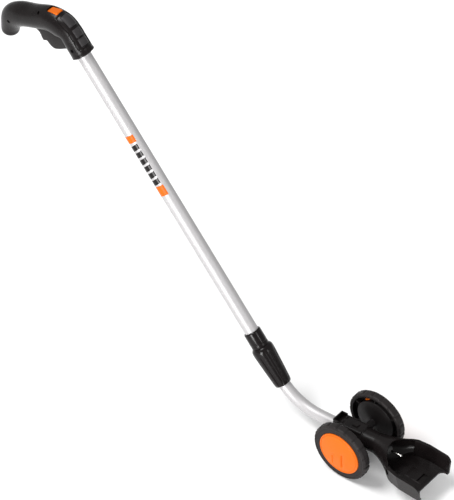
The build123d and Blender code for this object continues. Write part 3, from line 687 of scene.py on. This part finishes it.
def make_casing():
    """The grip's casing, with its openings for the trigger, the button and the screws."""
    angles = casing_angles()
    rings = []
    # The recess in the foot that the dark collar sits in.
    for depth, radius in ((3.0, 14.4), (0.4, 14.8), (0.0, 15.2)):
        rings.append([grip_point(fore_station(depth, radius), angle) for angle in angles])
    for rise in (0.0, 0.3, 0.7):
        rings.append([grip_point(fore_station(rise), angle, casing_lift(rise, angle), end_shrink(rise))
                      for angle in angles])
    for spine, station in SPINE[1:]:
        rings.append([grip_point(station, angle, casing_lift(spine, angle), end_shrink(spine))
                      for angle in angles])
    tip = list(GRIP_STATIONS[-1])
    rings.append([grip_point(tip, angle, 0.0, POMMEL_ROUND + 2.5) for angle in angles])
    casing = skin("grip_casing", rings)

    well = [(-626.5, 512.0), (-628.5, 529.0), (-600.0, 538.5), (-574.0, 540.5), (-557.0, 540.5),
            (-552.0, 512.0), (-556.0, 490.0), (-620.0, 486.0)]
    carve(casing, prism("trigger_well", well, from_axle(0, 0), FORWARD, UP, 17.7))

    opening = rounded_box(BUTTON_LENGTH + 0.9, BUTTON_WIDTH + 0.9, 2.6)
    carve(casing, prism("button_well", opening, BUTTON_TOP - BUTTON_UP * 2 * MM, BUTTON_ALONG,
                        BUTTON_ALONG.cross(BUTTON_UP), 18.0))
    for forwards, height, floor_out, radius in SCREW_WELLS:
        hole = [(radius * cos(tau * step / 32), radius * sin(tau * step / 32)) for step in range(32)]
        middle_of_well = from_axle(forwards, height, floor_out + WELL_DEPTH / 2)
        carve(casing, prism("screw_well", hole, middle_of_well, FORWARD, UP, WELL_DEPTH))
    finish_piece(casing, "handle_and_upper_tube", "casing_black",
                 ["handle_shell_right", "handle_shell_left"], 38.0)


def spine_station(spine):
    """The station at a distance up the spine."""
    for (low, start), (high, finish) in zip(SPINE, SPINE[1:]):
        if low <= spine <= high:
            share = (spine - low) / (high - low)
            return [a + (b - a) * share for a, b in zip(start, finish)]
    return SPINE[-1][1]


def make_pad():
    """The soft pad: a thin scalloped bed with three raised cushions on it."""
    rings = []
    across = [step / 36 * 2 - 1 for step in range(37)]
    for step in range(73):
        spine = PAD_START + 1.0 + (PAD_END - PAD_START - 2.0) * step / 72
        station = spine_station(spine)
        edge = pad_edge(spine) - 0.045
        outer = [grip_point(station, edge * share, PAD_TOP) for share in across]
        inner = [grip_point(station, edge * share, PAD_FLOOR) for share in reversed(across)]
        rings.append(outer + inner)
    bed = skin("pad_bed", rings)
    finish_piece(bed, "handle_and_upper_tube", "casing_black", ["handle_pad"], 50.0)
    half_angle = radians(25.0)
    for number, centre in enumerate(PAD_LOBES):
        rings = []
        for step in range(25):
            reach = step / 12 - 1
            station = spine_station(centre + 1.5 + CUSHION_HALF_LENGTH * reach)
            outer = []
            for share in across:
                crown = (1 - abs(reach) ** 6) * (1 - abs(share) ** 6)
                lift = CUSHION_HEIGHT * sqrt(max(0.0, crown)) - 1.2
                outer.append(grip_point(station, half_angle * share, lift))
            inner = [grip_point(station, half_angle * share, -1.3) for share in reversed(across)]
            rings.append(outer + inner)
        cushion = skin(f"pad_cushion_{number}", rings)
        finish_piece(cushion, "handle_and_upper_tube", "soft_pad", (), 50.0)


make_casing()
make_pad()

# ---------------------------------------------------------------- mark on the tube
TUBE_RADIUS = 11.1
BAR_COUNT = 6
BAR_PITCH = 12.2


def tube_patch(name, low, high, first, last, slot, replaced=(), lean=0.0):
    """A thin patch on the outer tube between two angles from its right side towards its front."""
    rings = []
    for step in range(9):
        share = step / 8
        outer, inner = [], []
        for turn in range(25):
            across = turn / 24
            angle = radians(first + (last - first) * across)
            along = low + (high - low) * share + lean * (across - 0.5)
            spoke = RIGHT * cos(angle) + POLE_FRONT * sin(angle)
            outer.append(on_pole(along) + spoke * (TUBE_RADIUS + 0.14) * MM)
            inner.append(on_pole(along) + spoke * (TUBE_RADIUS - 0.08) * MM)
        rings.append(outer + list(reversed(inner)))
    patch = skin(name, rings)
    finish_piece(patch, "handle_and_upper_tube", slot, replaced, 50.0)


def make_mark():
    """Plain bars: an orange one at each end and a row of leaning black ones between."""
    tube_patch("mark_end_low", 385.0, 402.0, -58, 58, "orange", ["mark_ends"])
    tube_patch("mark_end_high", 479.0, 491.0, -58, 58, "orange")
    for number in range(BAR_COUNT):
        low = 404.5 + BAR_PITCH * number
        tube_patch(f"mark_bar_{number}", low, low + 8.6, -50, 50, "gloss_black",
                   ["mark_middle"] if number == 0 else (), lean=3.0)


make_mark()

# ---------------------------------------------------------------- trigger and button
def make_trigger():
    """The two-finger paddle, with full edges where the fingers lie."""
    hollows = smooth_outline([(-624.5, 526.0), (-623.0, 518.0), (-613.5, 512.5), (-607.0, 501.8),
                              (-599.5, 504.0), (-594.0, 499.8), (-586.0, 496.8), (-577.0, 500.0),
                              (-559.5, 511.0)], 6)
    outline = [*hollows, (-566.0, 519.0), (-581.0, 533.0)]
    paddle = prism("finger_paddle", outline, from_axle(0, 0), FORWARD, UP, 17.0)
    round_edges(paddle, 3.4, 6, 50.0)
    finish_piece(paddle, "trigger", "casing_black", ["trigger"], 60.0)


def make_button():
    """The orange lock-off button, crowned and with a fine edge."""
    rings = []
    for depth, inset in ((8.0, 0.0), (1.6, 0.0), (0.8, 0.25), (0.3, 0.8), (0.0, 1.7), (0.0, 3.2)):
        outline = rounded_box(BUTTON_LENGTH - 2 * inset, BUTTON_WIDTH - 2 * inset, max(0.8, 2.5 - inset))
        rings.append([BUTTON_TOP + (BUTTON_ALONG * x + RIGHT * y - BUTTON_UP * depth) * MM
                      for x, y in outline])
    button = skin("orange_button", rings)
    finish_piece(button, "lock_button", "orange", ["lock_button"], 60.0)


make_trigger()
make_button()

# ---------------------------------------------------------------- head and cradle details
def head_box(name, along, up, side, size, corner=0.8):
    """A small rounded block on the head: its middle, and its size along, up and across."""
    length, height, width = size
    block = prism(name, rounded_box(length, height, min(corner, length / 3, height / 3)),
                  on_neck(along, up, side), NECK_DIR, NECK_UP, width)
    round_edges(block, min(0.5, width / 5), 3, 40.0)
    finish_piece(block, "lower_pole", "casing_black")


def make_head_details():
    """The raised flange behind the head's pocket, with small stops along its front edge."""
    head_box("head_flange", -39.6, 18.3, 0.0, (2.6, 4.0, 22.0))
    for side in (-1, 1):
        head_box(f"head_cheek_{side + 1}", -34.6, 17.9, 10.6 * side, (10.0, 3.0, 2.2))
        head_box(f"head_stop_{side + 1}", -26.6, 17.9, 5.2 * side, (3.4, 2.2, 4.4))
        head_box(f"head_rail_{side + 1}", -16.0, 17.6, 9.4 * side, (17.0, 1.2, 1.6), 0.4)


def make_catch_plate():
    """The springy plate in the cradle's floor, with a deep slot for the shears' catch."""
    plate = prism("catch_pad", rounded_box(32.0, 22.0, 1.2), from_axle(110.0, 34.3), FORWARD,
                  FORWARD.cross(UP), 3.6)
    round_edges(plate, 0.5, 3, 40.0)
    carve(plate, prism("catch_slot", rounded_box(8.0, 18.0, 0.8), from_axle(119.0, 35.6), FORWARD,
                       FORWARD.cross(UP), 4.4))
    finish_piece(plate, "cradle", "casing_black", ["latch_plate"], 40.0)


make_head_details()
make_catch_plate()

# ---------------------------------------------------------------- camera
CAMERA_TURN = radians(39.7)
CAMERA_RISE = radians(45.3)
CAMERA_DISTANCE = 6.0
TARGET_LEFT = 199.05 * MM  # the view's centre, left of the axle and above it
TARGET_UP = 276.75 * MM
view_back = Vector((sin(CAMERA_TURN) * cos(CAMERA_RISE), -cos(CAMERA_TURN) * cos(CAMERA_RISE),
                    sin(CAMERA_RISE)))
view_right = Vector((cos(CAMERA_TURN), sin(CAMERA_TURN), 0))
view_up = view_back.cross(view_right)
target = AXLE - view_right * TARGET_LEFT + view_up * TARGET_UP

camera_data = bpy.data.cameras.new("camera")
camera_data.lens = 288.0
camera_data.sensor_width = 36.0
camera = bpy.data.objects.new("camera", camera_data)
scene.collection.objects.link(camera)
camera.location = target + view_back * CAMERA_DISTANCE
camera.rotation_euler = view_back.to_track_quat("Z", "Y").to_euler()
scene.camera = camera

# ---------------------------------------------------------------- floor and light
def soft_light(name, place, aim, width, height, power):
    """A large rectangular lamp that points at a place."""
    data = bpy.data.lights.new(name, "AREA")
    data.shape = "RECTANGLE"
    data.size = width
    data.size_y = height
    data.energy = power
    lamp = bpy.data.objects.new(name, data)
    scene.collection.objects.link(lamp)
    lamp.location = place
    lamp.rotation_euler = (Vector(place) - Vector(aim)).to_track_quat("Z", "Y").to_euler()
    return lamp


world = bpy.data.worlds.new("studio")
world.use_nodes = True
sky = world.node_tree.nodes["Background"]
sky.inputs["Color"].default_value = (1.0, 1.0, 1.0, 1.0)
sky.inputs["Strength"].default_value = 0.55
scene.world = world
scene.view_settings.view_transform = "Standard"

soft_light("key", (-2.2, -2.0, 5.5), (0, 0, 0.0), 2.4, 2.4, 290.0)
soft_light("side", (1.25, -3.4, 0.75), (0, 0, 0.3), 1.1, 1.6, 110.0)
soft_light("front", (3.6, 0.1, 2.0), (0, 0, 0.2), 0.45, 1.2, 16.0)

floor_material = base_material("pale_floor", (0.9, 0.9, 0.9), 0.8)[0]
bpy.ops.mesh.primitive_plane_add(size=40.0, location=(0, 0, -0.0002))
floor = bpy.context.object
floor.name = "floor"
floor.data.materials.append(floor_material)
